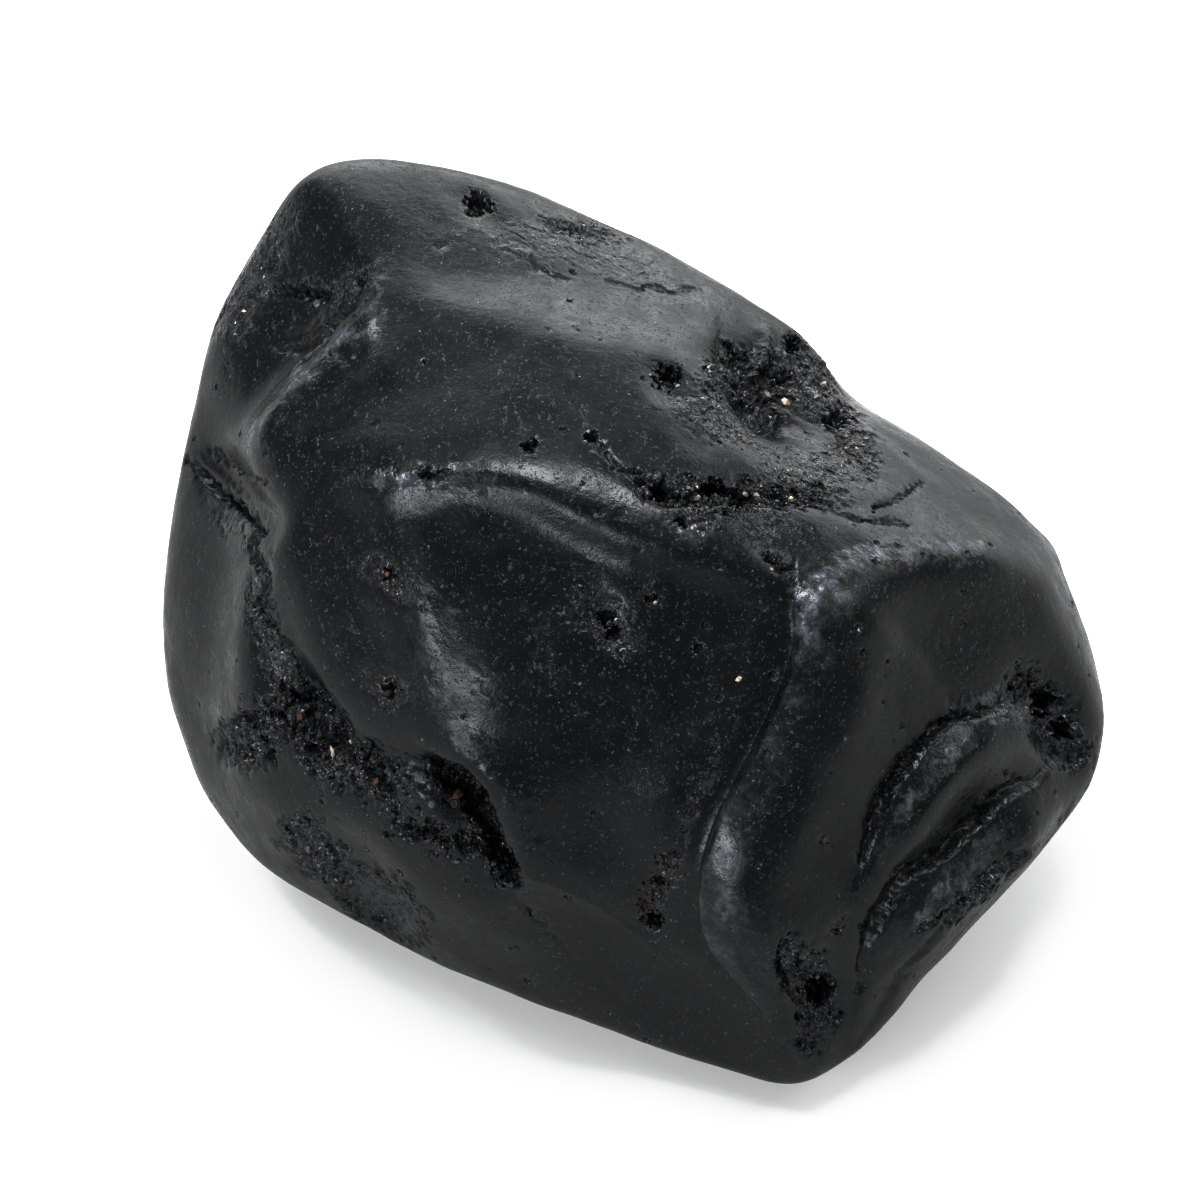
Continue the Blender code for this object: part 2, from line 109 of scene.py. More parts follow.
# Cuts on the front: half width and depth in mm, then pixels along the line and the share there.
CUTS = {
    "slit": (0.13, 0.50, [(188, 460, 0.3), (215, 487, 1.0), (240, 508, 1.0), (264, 531, 0.7)]),
    "slit_twin": (0.08, 0.22, [(209, 446, 0.3), (238, 470, 1.0), (267, 484, 0.6)]),
    "ragged_crack": (0.10, 0.28, [(264, 531, 0.8), (250, 546, 1.0), (267, 581, 0.7), (258, 607, 1.0),
                                  (282, 639, 1.0), (308, 689, 1.0), (323, 710, 0.8)]),
    "crevice": (0.32, 1.00, [(438, 768, 0.4), (466, 792, 1.0), (488, 822, 1.0), (498, 850, 0.9),
                             (512, 876, 0.6)]),
    "crevice_foot": (0.16, 0.45, [(396, 824, 0.5), (424, 832, 1.0), (452, 843, 1.0), (486, 850, 0.8)]),
    "crumble_hole": (0.20, 0.55, [(366, 752, 0.5), (372, 768, 1.0), (384, 786, 0.8)]),
    "long_crack": (0.11, 0.30, [(590, 438, 0.3), (612, 462, 0.8), (632, 474, 1.0), (648, 484, 1.0)]),
    "long_crack_on": (0.13, 0.40, [(648, 484, 1.0), (662, 494, 1.0), (690, 496, 0.8), (712, 486, 1.0),
                                   (741, 496, 1.0), (770, 494, 0.8), (800, 500, 0.6), (826, 502, 0.4)]),
    "shoulder_crack": (0.07, 0.16, [(828, 512, 0.4), (846, 516, 1.0), (865, 520, 1.0), (906, 526, 0.4)]),
    "shoulder_crack_high": (0.07, 0.20, [(877, 510, 1.0), (892, 503, 1.0), (922, 483, 0.5)]),
    "notch_crack": (0.13, 0.35, [(768, 556, 0.6), (776, 566, 1.0), (792, 569, 0.6)]),
    "plateau_crack": (0.08, 0.14, [(584, 404, 0.6), (592, 430, 1.0), (602, 447, 0.6)]),
    "brow_slit": (0.10, 0.25, [(418, 476, 0.3), (434, 474, 1.0), (448, 478, 0.4)]),
    "shelf_foot": (0.14, 0.22, [(268, 290, 0.6), (300, 293, 1.0), (331, 298, 1.0), (335, 304, 0.5)]),
    "shelf_foot_low": (0.12, 0.15, [(279, 351, 0.6), (317, 341, 1.0), (352, 306, 0.8), (361, 284, 0.5)]),
    "crest_crack": (0.07, 0.14, [(323, 355, 0.5), (342, 359, 1.0), (357, 357, 0.6)]),
    "bevel_crack": (0.07, 0.12, [(528, 268, 0.4), (548, 272, 1.0), (566, 279, 0.4)]),
    "bevel_crack_on": (0.07, 0.12, [(606, 282, 0.4), (640, 288, 1.0), (700, 291, 0.5)]),
    "crown_crack": (0.09, 0.16, [(540, 222, 0.4), (572, 230, 1.0), (612, 236, 0.6)]),
    "upper_foot": (0.15, 0.25, [(997, 706, 0.5), (976, 712, 1.0), (943, 721, 1.0), (914, 753, 1.0),
                                (889, 786, 1.0), (871, 829, 1.0), (862, 862, 0.6)]),
    "lower_foot": (0.15, 0.25, [(1037, 775, 0.5), (1001, 793, 1.0), (976, 818, 1.0), (940, 851, 1.0),
                                (907, 872, 1.0), (886, 901, 1.0), (867, 937, 0.8), (860, 988, 0.4)]),
    "toe_loop": (0.12, 0.30, [(784, 937, 0.6), (779, 960, 1.0), (786, 984, 1.0), (797, 1002, 0.7)]),
    "toe_crack": (0.09, 0.20, [(790, 1038, 0.5), (802, 1046, 1.0), (816, 1044, 0.5)]),
    "rim_crack": (0.09, 0.20, [(922, 930, 0.5), (950, 912, 1.0), (985, 884, 1.0), (1015, 858, 0.5)]),
    "hem_crack": (0.07, 0.12, [(513, 894, 0.5), (531, 916, 1.0), (559, 945, 1.0), (577, 963, 0.4)]),
}

# Pits on the front: pixel, then radius and depth in mm.
PITS = {
    "crown_pit": (475, 203, 0.34, 0.50),
    "crown_pit_twin": (487, 209, 0.20, 0.30),
    "round_pit": (669, 377, 0.40, 0.45),
    "plateau_pit": (530, 447, 0.22, 0.35),
    "plateau_pit_small": (590, 436, 0.20, 0.30),
    "seam_hole": (662, 490, 0.36, 0.60),
    "seam_hole_two": (713, 487, 0.28, 0.45),
    "seam_hole_three": (740, 496, 0.24, 0.45),
    "seam_hole_low": (682, 522, 0.18, 0.30),
    "brow_pit": (424, 474, 0.18, 0.25),
    "front_star": (606, 618, 0.26, 0.50),
    "front_star_low": (612, 633, 0.18, 0.35),
    "front_pit_right": (651, 598, 0.16, 0.20),
    "front_pit_east": (698, 648, 0.15, 0.20),
    "sill_hole": (655, 922, 0.26, 0.50),
    "sill_hole_high": (658, 882, 0.18, 0.25),
    "cheek_pit": (392, 690, 0.26, 0.30),
    "cheek_pit_high": (388, 574, 0.20, 0.25),
    "cheek_dot": (330, 540, 0.08, 0.10),
    "belly_pit": (824, 840, 0.13, 0.12),
    "belly_pit_low": (837, 932, 0.13, 0.15),
    "toe_hole": (817, 991, 0.45, 0.70),
    "toe_hole_high": (798, 962, 0.22, 0.35),
    "end_hole": (1044, 704, 0.36, 0.60),
    "end_hole_low": (1062, 730, 0.34, 0.60),
    "crater_left": (736, 362, 0.34, 0.20),
    "crater_right": (779, 378, 0.28, 0.25),
    "crater_notch": (792, 344, 0.30, 0.40),
    "shoulder_hollow": (836, 418, 0.42, 0.40),
    "temple_pit": (361, 282, 0.16, 0.20),
    "trough_pit": (424, 360, 0.10, 0.15),
    "end_pit": (1010, 690, 0.20, 0.25),
}

# Small ledges on the front, where the side on the left of the line, as it runs in the
# photograph, stands above the other: its height in mm, the length over which its edge
# rounds off, its reach, the depth of the trough at its foot, then the line.
STEPS = {
    "upper_ledge": (0.20, 0.35, 0.9, 0.12, [(1000, 704, 0.4), (976, 712, 1.0), (943, 721, 1.0),
                                            (914, 753, 1.0), (889, 786, 1.0), (871, 829, 1.0),
                                            (862, 866, 0.4)]),
    "lower_ledge": (0.22, 0.40, 1.0, 0.12, [(1037, 775, 0.4), (1001, 793, 1.0), (976, 818, 1.0),
                                            (940, 851, 1.0), (907, 872, 1.0), (886, 901, 1.0),
                                            (867, 937, 0.9), (858, 988, 0.4)]),
    "rim_step": (0.14, 0.30, 0.6, 0.10, [(1085, 792, 0.3), (1037, 847, 1.0), (994, 865, 1.0),
                                         (951, 919, 1.0), (907, 966, 1.0), (889, 991, 0.8),
                                         (862, 1036, 0.3)]),
    "temple_shelf": (0.18, 0.25, 0.5, 0.12, [(258, 284, 0.4), (290, 292, 1.0), (331, 294, 1.0),
                                             (337, 304, 0.5)]),
    "temple_shelf_low": (0.14, 0.25, 0.4, 0.10, [(276, 350, 0.4), (317, 339, 1.0), (346, 312, 0.9),
                                                 (361, 282, 0.5)]),
    "lobe_foot": (0.50, 0.45, 1.5, 0.06, [(793, 622, 0.4), (790, 656, 1.0), (772, 704, 1.0),
                                          (745, 760, 1.0), (715, 820, 1.0), (699, 880, 1.0),
                                          (703, 930, 1.0), (730, 975, 0.9), (764, 1018, 0.4)]),
    "crevice_lip": (0.30, 0.25, 0.8, 0.30, [(430, 758, 0.4), (470, 770, 1.0), (492, 802, 1.0),
                                            (499, 830, 1.0), (516, 860, 0.9), (514, 884, 0.4)]),
    "cavity_lip": (0.20, 0.25, 0.6, 0.25, [(228, 724, 0.4), (258, 712, 1.0), (286, 724, 1.0),
                                           (304, 752, 0.5)]),
    "seam_lip": (0.12, 0.20, 0.5, 0.12, [(840, 508, 0.3), (790, 506, 0.8), (742, 508, 1.0),
                                         (700, 504, 1.0), (660, 506, 0.8), (640, 494, 0.3)]),
    "crater_lip": (0.22, 0.30, 0.7, 0.15, [(836, 428, 0.4), (806, 420, 0.8), (776, 408, 1.0),
                                           (742, 398, 1.0), (716, 376, 0.9), (716, 346, 0.4)]),
}

# Narrow crests on the front: half width and height in mm, and the line.
RIDGES = {
    "sill_line": (0.11, 0.06, [(520, 870, 0.5), (580, 899, 1.0), (618, 919, 1.0), (672, 962, 0.5)]),
    "temple_crest": (0.32, 0.12, [(378, 264, 0.5), (373, 313, 1.0), (331, 344, 1.0), (292, 386, 1.0),
                                  (258, 432, 0.5)]),
    "crevice_block": (0.50, 0.28, [(408, 774, 0.8), (420, 788, 1.0), (434, 802, 0.7)]),
    "crater_tongue": (0.24, 0.30, [(764, 334, 0.5), (760, 356, 1.0), (752, 378, 0.7)]),
    "boulder": (0.28, 0.22, [(774, 412, 0.9), (784, 420, 1.0)]),
    "cheek_worn": (0.90, -0.16, [(418, 570, 0.3), (440, 630, 1.0), (460, 690, 1.0), (480, 750, 0.5)]),
    "slit_bank": (0.16, 0.08, [(190, 452, 0.4), (222, 478, 1.0), (252, 506, 1.0), (272, 520, 0.4)]),
}

# Crystal grains set in the front: pixel, then size across in pixels.
PALE_GRAINS = [
    (288, 686, 9), (332, 751, 10), (268, 227, 8), (281, 212, 7), (244, 311, 7), (235, 323, 7),
    (768, 398, 15), (785, 402, 12), (822, 383, 10), (676, 492, 8), (688, 488, 8), (699, 499, 9),
    (744, 494, 8), (753, 495, 12), (790, 499, 7), (806, 502, 7), (824, 500, 8), (739, 679, 8),
    (772, 569, 9), (857, 449, 6), (350, 741, 6), (312, 704, 6), (655, 603, 6), (664, 872, 7),
]
TAN_GRAINS = [
    (238, 466, 8), (260, 482, 8), (297, 683, 8), (302, 716, 10), (388, 575, 8), (335, 293, 8),
    (316, 339, 8), (857, 452, 7), (664, 491, 10), (665, 876, 8), (660, 882, 7), (656, 919, 7),
    (837, 932, 7), (824, 840, 8), (1032, 686, 8), (458, 797, 18), (390, 692, 11), (740, 492, 7),
    (651, 598, 8), (318, 736, 7), (377, 781, 7), (424, 360, 5), (330, 540, 5), (606, 614, 6),
]

# Broken ground on the front: half width in pixels, how coarse its chips stand in mm, how
# far it is sunk in mm, its roughness, its tint (blue below 0, frosted too below about -0.3,
# and brown above 0), and the line. On lit crests and worn bands the blue and frosted tint
# is a painted highlight.
BROKEN = {
    "flank_break": (15, 0.18, 0.08, 0.9, -0.9, [(262, 560, 0.4), (262, 620, 0.7), (290, 690, 1.0),
                                                (320, 730, 1.0)]),
    "flank_cavity": (30, 0.42, 0.20, 1.0, 0.15, [(246, 742, 0.7), (280, 722, 1.0), (306, 712, 1.0),
                                                 (322, 734, 0.9)]),
    "flank_crumble": (28, 0.34, 0.08, 1.0, -0.6, [(318, 758, 0.9), (350, 768, 1.0), (380, 776, 1.0),
                                                  (398, 800, 0.6)]),
    "crevice_crumble": (16, 0.30, 0.08, 1.0, 0.1, [(398, 826, 0.7), (440, 836, 1.0), (484, 850, 1.0),
                                                    (508, 872, 0.7)]),
    "crevice_walls": (20, 0.12, 0.05, 0.8, 0.3, [(446, 778, 0.8), (474, 806, 1.0), (496, 846, 0.9)]),
    "lip_break": (24, 0.26, 0.10, 1.0, 0.1, [(300, 832, 0.8), (322, 856, 1.0), (340, 872, 0.8)]),
    "lip_pocket": (26, 0.06, 0.25, 0.7, -0.2, [(362, 892, 0.8), (392, 912, 1.0), (404, 926, 0.6)]),
    "slit_wedge": (18, 0.06, 0.04, 0.6, -0.9, [(216, 504, 0.6), (236, 520, 1.0), (250, 532, 0.7)]),
    "seam_break": (15, 0.26, 0.06, 1.0, -0.4, [(648, 486, 0.9), (690, 494, 1.0), (742, 498, 1.0),
                                              (800, 496, 0.9), (836, 500, 0.4)]),
    "seam_crystals": (16, 0.07, 0.02, 1.0, -0.5, [(676, 512, 0.8), (706, 518, 0.9), (724, 506, 0.5)]),
    "seam_crystals_on": (14, 0.07, 0.02, 1.0, -0.5, [(752, 516, 0.8), (776, 526, 0.9), (792, 516, 0.5)]),
    "shoulder_sparkle": (24, 0.06, 0.0, 0.9, -0.1, [(772, 466, 0.7), (806, 474, 0.9), (842, 462, 0.9),
                                                    (866, 474, 0.5)]),
    "crater_floor": (32, 0.32, -0.10, 1.0, -1.0, [(728, 372, 0.8), (752, 384, 1.0), (780, 380, 0.9),
                                                 (800, 382, 0.4)]),
    "crater_apron": (26, 0.08, 0.03, 0.8, -0.9, [(690, 410, 0.7), (724, 420, 0.9), (760, 424, 0.8)]),
    "notch_break": (20, 0.14, 0.02, 1.0, -0.9, [(796, 350, 0.6), (818, 388, 1.0), (838, 424, 1.0),
                                                (866, 452, 0.7)]),
    "star_break": (24, 0.12, 0.02, 0.9, -0.5, [(584, 604, 0.6), (606, 622, 1.0), (628, 640, 0.6)]),
    "star_east": (12, 0.05, 0.0, 0.8, 0.2, [(640, 604, 0.7), (660, 594, 0.7)]),
    "star_west": (12, 0.05, 0.0, 0.8, -0.2, [(536, 620, 0.4), (550, 666, 0.6), (562, 684, 0.4)]),
    "sill_break": (15, 0.20, 0.06, 1.0, 0.6, [(672, 862, 0.8), (656, 886, 1.0), (650, 920, 1.0)]),
    "cheek_break": (17, 0.07, 0.04, 0.9, 0.6, [(378, 680, 0.5), (394, 690, 1.0), (406, 694, 0.4)]),
    "cheek_star": (18, 0.07, 0.03, 0.9, 0.15, [(378, 566, 0.8), (394, 576, 1.0), (414, 592, 0.6)]),
    "belly_break": (10, 0.06, 0.02, 0.8, 0.4, [(842, 918, 0.7), (836, 936, 0.8)]),
    "toe_break": (26, 0.32, 0.10, 1.0, -0.5, [(792, 956, 0.7), (812, 984, 1.0), (818, 1008, 1.0),
                                             (812, 1034, 0.6)]),
    "end_break": (24, 0.30, 0.10, 1.0, -0.5, [(1030, 684, 0.8), (1050, 712, 1.0), (1074, 746, 0.8)]),
    "end_apron": (18, 0.08, 0.02, 0.9, -1.2, [(960, 712, 0.5), (994, 704, 0.9), (1026, 716, 0.8)]),
    "rim_break": (9, 0.09, 0.08, 0.8, -0.9, [(922, 930, 0.6), (960, 904, 1.0), (1000, 872, 1.0),
                                            (1020, 852, 0.5)]),
    "temple_break": (30, 0.06, 0.03, 0.9, -1.0, [(232, 322, 0.7), (252, 270, 0.9), (282, 218, 0.7)]),
    "temple_shelf": (15, 0.06, 0.02, 0.9, 0.1, [(300, 288, 0.6), (334, 292, 1.0), (362, 280, 0.9)]),
    # The temple's crest: fine grain, whose blue and frosted tint is also a painted highlight.
    "temple_crest": (11, 0.03, 0.0, 0.4, -1.1, [(377, 267, 0.6), (373, 313, 0.9), (331, 344, 1.0),
                                                (292, 386, 1.0), (262, 428, 0.8)]),
    "crown_break": (12, 0.07, 0.04, 0.8, 0.0, [(536, 218, 0.4), (574, 230, 1.0), (620, 236, 0.7)]),
    "bevel_grain": (26, 0.03, 0.0, 0.6, -0.1, [(430, 206, 0.5), (520, 240, 0.8), (620, 262, 0.8),
                                               (720, 300, 0.6)]),
    # Fine grain on lit crests: the brow, the two ledges and the lobe's top. Its blue and frosted tint is also
    # a painted highlight.
    "brow_grain_and_highlight": (13, 0.05, 0.0, 0.5, -0.6, [(318, 462, 0.3), (360, 478, 0.9), (400, 480, 1.0),
                                              (446, 476, 0.9), (500, 478, 0.4)]),
    "upper_ledge_grain_and_highlight": (12, 0.05, 0.0, 0.4, -1.2, [(875, 852, 0.6), (905, 808, 1.0), (940, 770, 1.0),
                                                     (968, 744, 0.8)]),
    "lower_ledge_grain_and_highlight": (12, 0.05, 0.0, 0.4, -1.3, [(889, 950, 0.6), (930, 905, 1.0), (966, 870, 1.0),
                                                     (1002, 824, 0.8)]),
    "lobe_top_grain_and_highlight": (17, 0.04, 0.0, 0.4, -1.0, [(796, 622, 0.7), (812, 586, 1.0), (850, 562, 1.0),
                                                  (910, 552, 0.9), (976, 552, 0.8)]),
    # Painted highlights: bands of light frosted colour only, with no chips, along the lobe's lit edge, the
    # brow and the top bevel.
    "lobe_edge_painted_highlight": (32, 0.0, 0.0, 0.1, -1.1, [(826, 604, 1.0), (818, 650, 0.8), (802, 700, 0.7),
                                                  (774, 755, 0.7), (744, 815, 0.7), (726, 875, 0.8),
                                                  (730, 925, 0.8), (756, 972, 0.4)]),
    "brow_painted_highlight": (20, 0.0, 0.0, 0.15, -1.0, [(384, 494, 0.8), (430, 496, 1.0), (480, 492, 0.5),
                                             (540, 484, 0.5), (600, 500, 0.6), (660, 520, 0.7),
                                             (730, 552, 0.5)]),
    "bevel_painted_highlight": (34, 0.0, 0.0, 0.1, -0.75, [(430, 240, 0.5), (510, 262, 0.9), (560, 280, 0.6)]),
    "sill_band": (8, 0.03, 0.0, 0.7, -0.6, [(680, 838, 0.7), (690, 820, 1.0), (712, 771, 1.0),
                                            (742, 700, 0.5)]),
}

# Broken ground and cuts out of the photograph's sight: the sheet, then what the front's have,
# with the half width in mm and the line in mm right and up on the sheet.
HIDDEN_BROKEN = {
    "nape_break": ("back", 1.1, 0.14, 0.15, 0.9, -0.1, [(1.2, 5.2, 0.7), (2.6, 5.8, 1.0),
                                                        (3.8, 5.2, 0.5)]),
    "spine_grain": ("back", 0.7, 0.05, 0.0, 0.8, -0.6, [(8.0, -4.4, 0.6), (3.0, -6.2, 1.0),
                                                        (-4.0, -6.8, 0.8)]),
    "back_pocket": ("back", 1.2, 0.20, 0.25, 1.0, 0.2, [(7.4, -7.6, 0.7), (6.4, -8.6, 1.0),
                                                        (5.0, -8.8, 0.6)]),
    "back_crevice_walls": ("back", 0.7, 0.12, 0.12, 1.0, 0.2, [(-8.6, -1.6, 0.6), (-7.2, -3.0, 1.0),
                                                               (-6.4, -5.0, 1.0), (-6.8, -7.0, 0.5)]),
    "back_ledge_grain": ("back", 0.6, 0.06, 0.0, 0.9, -0.5, [(7.6, 2.4, 0.6), (3.4, 0.8, 1.0),
                                                             (0.8, 1.4, 0.5)]),
    "left_walls": ("left", 0.8, 0.12, 0.12, 1.0, 0.1, [(-6.4, -0.8, 0.6), (-4.6, -1.6, 1.0),
                                                       (-1.6, -1.2, 0.8)]),
    "left_patch": ("left", 1.0, 0.07, 0.03, 0.9, -0.6, [(-4.0, 3.8, 0.6), (-1.6, 4.6, 0.9)]),
    "right_walls": ("right", 0.8, 0.14, 0.14, 1.0, 0.15, [(-1.6, -3.2, 0.6), (1.6, -4.4, 1.0),
                                                          (4.2, -4.8, 0.8)]),
    "right_patch": ("right", 0.9, 0.08, 0.05, 0.9, -0.4, [(4.0, 0.4, 0.8), (5.2, 1.2, 0.8)]),
}
HIDDEN_CUTS = {
    "back_slit": ("back", 0.10, 0.30, [(-1.8, 3.6, 0.4), (0.6, 2.8, 1.0), (2.8, 3.4, 0.6)]),
    "back_seam": ("back", 0.14, 0.40, [(-9.0, -1.4, 0.4), (-7.2, -3.0, 1.0), (-6.4, -5.0, 1.0),
                                       (-6.8, -7.4, 0.4)]),
    "back_hair": ("back", 0.08, 0.18, [(-2.6, -2.0, 0.4), (0.8, -4.2, 1.0), (3.6, -4.4, 0.4)]),
    "left_seam": ("left", 0.14, 0.35, [(-7.4, -0.4, 0.4), (-4.6, -1.6, 1.0), (-1.6, -1.2, 1.0),
                                       (1.2, -2.6, 0.4)]),
    "left_hair": ("left", 0.08, 0.18, [(0.8, 6.4, 0.4), (2.2, 4.2, 1.0), (2.0, 2.0, 0.5)]),
    "right_seam": ("right", 0.14, 0.40, [(-3.0, -2.4, 0.4), (0.0, -4.0, 1.0), (3.4, -4.4, 1.0),
                                         (6.0, -6.0, 0.4)]),
    "right_hair": ("right", 0.08, 0.18, [(-1.0, 2.2, 0.4), (1.8, 1.0, 1.0), (4.6, 2.2, 0.4)]),
}

# Small worn pits over the whole stone.
PIT_COUNT = 520
PIT_RADII = (0.05, 0.16)
PIT_SEED = 11

# How a mark's edge wanders: lumps to a mm, their reach in mm and their seed, then the same
# of uneven blocks, then the blocks to a mm and the seed of the crooks, which grow with the mark.
DRIFT_LUMPS = (2.6, 0.07, 21)
DRIFT_BLOCKS = (3.0, 0.16, 31)
CROOK_BLOCKS = (6.5, 61)

# Broken ground's blocks in three sizes: blocks to a mm, share of the height, seed.
CHIP_LAYERS = ((1.5, 0.50, 5), (3.2, 0.32, 17), (6.5, 0.18, 29))

# Swells of the worn faces: size and height in mm, seed. Then the fine grain's sizes and seeds,
# and its height in mm where the ground is worn and how much broken ground adds to it.
SWELLS = ((3.2, 0.05, 1), (1.4, 0.022, 2), (0.6, 0.008, 3))
FINE_GRAIN = (0.22, 4)
FINER_GRAIN = (0.11, 5)
GRAIN_WORN, GRAIN_BROKEN = 0.0015, 0.012

# Ground rougher than this is left with sharp facets.
CHIPPED = 0.45

# Grains stand on ground rougher than this.
GRAINY = 0.6

# Grains scattered over the broken ground: how many of each kind, and their radii in mm.
SCATTERED = {"dark": (1500, 0.05, 0.16), "pale": (240, 0.03, 0.08), "tan": (120, 0.04, 0.10)}
GRAIN_SEED = 23

# The share of a grain's radius by which its middle lies under the surface.
GRAIN_SUNK = 0.5

# The stone's colours. Noise blends each pair from the first to the second.
BLACK = ((0.0034, 0.0037, 0.0048, 1.0), (0.0062, 0.0068, 0.0084, 1.0))
CHALKY = ((0.0045, 0.0046, 0.005, 1.0), (0.050, 0.052, 0.058, 1.0))
BLUE = ((0.005, 0.006, 0.008, 1.0), (0.058, 0.065, 0.080, 1.0))
BROWN = ((0.008, 0.005, 0.004, 1.0), (0.080, 0.050, 0.030, 1.0))
# Frost: the light grey of chipped crystals, and on lit crests and worn bands a painted highlight.
FROST_AND_HIGHLIGHT = (0.19, 0.20, 0.22, 1.0)
# Painted shade: the near black that pits, cuts and the low chips of broken ground are darkened towards.
HOLLOW_SHADE = (0.0030, 0.0027, 0.0025, 1.0)
FLECK = (0.26, 0.27, 0.29, 1.0)
GLINT = (0.30, 0.31, 0.34, 1.0)

# The stone's gloss: refraction, the tint of its reflections, the range of its roughness,
# and how deep its bump is.
SPINEL_IOR = 1.52
SPINEL_TINT = (0.97, 0.98, 1.0, 1.0)
POLISH = (0.22, 0.34)
BUMP_DEPTH = 0.012 * MM

# Directions of the fine scratches: how their noise is turned, and drawn out by small scales.
SCRATCHES = ((0.6, 0.5, -0.5), (1.0, 0.25, 1.0))
SCRATCHES_ACROSS = ((-0.4, 0.9, 0.8), (1.0, 0.3, 1.0))

# The grains: a dark and a light colour, between which they differ, and their roughness.
GRAIN_LOOKS = {
    "pale": ((0.10, 0.10, 0.10, 1.0), (0.42, 0.39, 0.34, 1.0), 0.35),
    "tan": ((0.05, 0.03, 0.018, 1.0), (0.17, 0.11, 0.065, 1.0), 0.45),
    "dark": ((0.008, 0.008, 0.009, 1.0), (0.12, 0.122, 0.13, 1.0), 0.18),
}
GRAIN_IOR = 1.5


def turned(turn, rise):
    """Right, up and forward for a side that is looked at from turn and rise degrees."""
    a, e = math.radians(turn), math.radians(rise)
    right = np.array([math.cos(a), math.sin(a), 0.0])
    forward = np.array([math.sin(a) * math.cos(e), -math.cos(a) * math.cos(e), math.sin(e)])
    return right, np.cross(forward, right), forward


RIGHT, UP, FORWARD = turned(0.0, CAMERA_RISE)
AIM = (np.array(HEART) + RIGHT * (FRAME_MIDDLE[0] - HEART_PIXEL[0]) / PIXELS_PER_MM * MM
       - UP * (FRAME_MIDDLE[1] - HEART_PIXEL[1]) / PIXELS_PER_MM * MM)
EYE = AIM + FORWARD * CAMERA_AWAY


def placed(name, data):
    """A new object, put in the scene."""
    made = bpy.data.objects.new(name, data)
    bpy.context.scene.collection.objects.link(made)
    return made


def listed(items, key, kind, width=1):
    """A value of each of a mesh's items, as one array."""
    values = np.empty(len(items) * width, kind)
    items.foreach_get(key, values)
    return values


def boxed(places):
    """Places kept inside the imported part's box."""
    return np.clip(places, *(np.array(corner) for corner in CAD_BOX))


def mesh_tree(mesh):
    """The mesh, ready for rays."""
    bm = bmesh.new()
    bm.from_mesh(mesh)
    tree = BVHTree.FromBMesh(bm)
    bm.free()
    return tree


def pixels(places):
    """The photograph's pixels of places, as the camera sees them."""
    away = places - EYE
    scale = CAMERA_AWAY * PIXELS_PER_MM / MM / -(away @ FORWARD)
    return np.stack([FRAME_MIDDLE[0] + away @ RIGHT * scale, FRAME_MIDDLE[1] - away @ UP * scale], axis=1)


def hashed(cells, seed):
    """A number from 0 to 1 for each whole-numbered cell."""
    x, y, z = (cells[:, i].astype(np.int64).astype(np.uint64) for i in range(3))
    h = x * np.uint64(374761393) + y * np.uint64(668265263) + z * np.uint64(2246822519)
    h = (h + np.uint64(seed * 3266489917)) & np.uint64(0xFFFFFFFF)
    h = ((h ^ (h >> np.uint64(15))) * np.uint64(2246822519)) & np.uint64(0xFFFFFFFF)
    h = ((h ^ (h >> np.uint64(13))) * np.uint64(3266489917)) & np.uint64(0xFFFFFFFF)
    return ((h ^ (h >> np.uint64(16))) & np.uint64(0xFFFFFF)).astype(float) / 0xFFFFFF


def lumps(spots, seed):
    """Smooth noise from -1 to 1, its lumps about one unit across."""
    cell = np.floor(spots)
    part = spots - cell
    part = part * part * (3 - 2 * part)
    total = np.zeros(len(spots))
    for corner in np.ndindex(2, 2, 2):
        share = np.prod(np.where(np.array(corner) == 1, part, 1 - part), axis=1)
        total += share * hashed(cell + corner, seed)
    return total * 2 - 1


def chips(spots, seed):
    """Broken blocks one unit across: a height from -1 to 1, flat and tilted on each block."""
    cell = np.floor(spots)
    least = np.full(len(spots), np.inf)
    height = np.zeros(len(spots))
    for step in np.ndindex(3, 3, 3):
        near = cell + np.array(step) - 1
        jitter = np.stack([hashed(near, seed + k) for k in range(3)], axis=1)
        reach = spots - near - jitter
        distance = np.einsum("ij,ij->i", reach, reach)
        tilt = np.stack([hashed(near, seed + 3 + k) for k in range(3)], axis=1) * 2 - 1
        block = (hashed(near, seed + 6) * 2 - 1) * 0.5 + np.einsum("ij,ij->i", reach, tilt) * 1.2
        nearer = distance < least
        least[nearer] = distance[nearer]
        height[nearer] = block[nearer]
    return np.clip(height, -1.0, 1.0)


def jagged(spots, cells, seed):
    """A number from -0.5 to 0.5, the same all over each uneven block, cells blocks to a unit."""
    uneven = spots * cells + np.stack([lumps(spots * cells * 0.8, seed + k) for k in range(3)], axis=1) * 0.45
    return hashed(np.floor(uneven), seed) - 0.5


def curve_through(points, steps=6):
    """A smooth line through the points (a Catmull-Rom spline), each a row of numbers."""
    p = np.array(points, float)
    p = np.vstack([2 * p[0] - p[1], p, 2 * p[-1] - p[-2]])
    rows = []
    for a, b, c, d in zip(p, p[1:], p[2:], p[3:]):
        for t in np.linspace(0.0, 1.0, steps, endpoint=False):
            rows.append(0.5 * (2 * b + (c - a) * t + (2 * a - 5 * b + 4 * c - d) * t**2
                               + (3 * b - a - 3 * c + d) * t**3))
    rows.append(p[-2])
    return np.array(rows)


